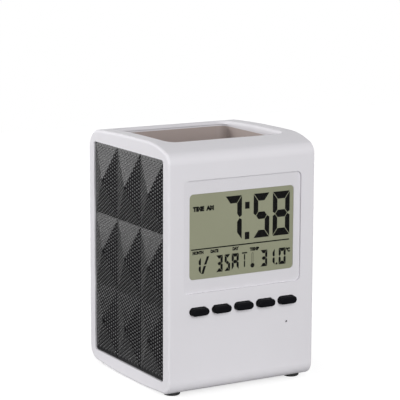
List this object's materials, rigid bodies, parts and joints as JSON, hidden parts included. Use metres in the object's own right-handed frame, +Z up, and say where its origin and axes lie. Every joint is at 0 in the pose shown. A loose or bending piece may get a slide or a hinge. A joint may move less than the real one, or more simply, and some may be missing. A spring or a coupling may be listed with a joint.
{
  "type": "pen holder clock",
  "caption": "Desk pen cup with a liquid crystal clock in its front wall, push keys below the display and black textured side panels.",
  "frame": {"origin": "on the ground under the middle of the outer box", "axes": "+X to the viewer's right, -Y out of the display face, +Z up along the pen tub"},
  "size_m": [0.0834, 0.0838, 0.1195],
  "materials": {
    "body_white": "satin moulded white plastic",
    "tub_white": "plain moulded white plastic",
    "panel_black": "black plastic with a fine woven mesh relief",
    "button_black": "soft black keys",
    "foot_rubber": "black rubber",
    "lens_clear": "clear acrylic sheet",
    "lcd_olive": "reflective liquid crystal glass",
    "frame_grey": "moulded grey plastic",
    "strip_rubber": "layered silicone rubber",
    "board_green": "green solder mask on glass fibre",
    "chip_black": "black epoxy",
    "crystal_steel": "plated can",
    "sensor_black": "black epoxy bead",
    "buzzer_brass": "thin brass disc",
    "cell_jacket": "plain printed jacket, unmarked",
    "contact_steel": "nickel plated spring steel",
    "lead_red": "red wire insulation",
    "lead_black": "black wire insulation",
    "screw_steel": "zinc plated steel",
    "switch_black": "black switch body",
    "plunger_white": "switch plunger"
  },
  "bodies": {
    "clock_body": {"alarm_switch": "switch_black", "base_plate": "body_white", "base_screws": "screw_steel", "battery_cell_1": "cell_jacket", "battery_cell_2": "cell_jacket", "black_battery_lead": "lead_black", "black_buzzer_lead": "lead_black", "board_screws": "screw_steel", "bridge_contact": "contact_steel", "bridge_spring": "contact_steel", "buzzer_disc": "buzzer_brass", "chip_blob": "chip_black", "circuit_board": "board_green", "connector_strip": "strip_rubber", "display_lens": "lens_clear", "down_switch": "switch_black", "front_left_foot": "foot_rubber", "front_right_foot": "foot_rubber", "lcd_frame": "frame_grey", "lcd_panel": "lcd_olive", "left_side_cover": "body_white", "left_textured_panel": "panel_black", "main_housing": "body_white", "mode_switch": "switch_black", "negative_contact": "contact_steel", "negative_spring": "contact_steel", "pen_tub": "tub_white", "positive_contact": "contact_steel", "rear_left_foot": "foot_rubber", "rear_right_foot": "foot_rubber", "red_battery_lead": "lead_red", "red_buzzer_lead": "lead_red", "right_side_cover": "body_white", "right_textured_panel": "panel_black", "set_switch": "switch_black", "temperature_sensor": "sensor_black", "up_switch": "switch_black", "watch_crystal": "crystal_steel"},
    "mode_key": {"mode_button": "button_black", "mode_switch_plunger": "plunger_white"},
    "set_key": {"set_button": "button_black", "set_switch_plunger": "plunger_white"},
    "up_key": {"up_button": "button_black", "up_switch_plunger": "plunger_white"},
    "down_key": {"down_button": "button_black", "down_switch_plunger": "plunger_white"},
    "alarm_key": {"alarm_button": "button_black", "alarm_switch_plunger": "plunger_white"},
    "door": {"battery_door": "body_white"}
  },
  "joints": [
    {"name": "mode_press", "type": "slide", "parent": "clock_body", "child": "mode_key", "axis": [0, 1, 0], "range_m": [0, 0.0005], "stiffness_N_per_m": 2000},
    {"name": "set_press", "type": "slide", "parent": "clock_body", "child": "set_key", "axis": [0, 1, 0], "range_m": [0, 0.0005], "stiffness_N_per_m": 2000},
    {"name": "up_press", "type": "slide", "parent": "clock_body", "child": "up_key", "axis": [0, 1, 0], "range_m": [0, 0.0005], "stiffness_N_per_m": 2000},
    {"name": "down_press", "type": "slide", "parent": "clock_body", "child": "down_key", "axis": [0, 1, 0], "range_m": [0, 0.0005], "stiffness_N_per_m": 2000},
    {"name": "alarm_press", "type": "slide", "parent": "clock_body", "child": "alarm_key", "axis": [0, 1, 0], "range_m": [0, 0.0005], "stiffness_N_per_m": 2000},
    {"name": "door_hinge", "type": "hinge", "parent": "clock_body", "child": "door", "pos_m": [0.0256, 0.0015, 0.0014], "axis": [0, -1, 0], "range_deg": [0, 90]}
  ]
}
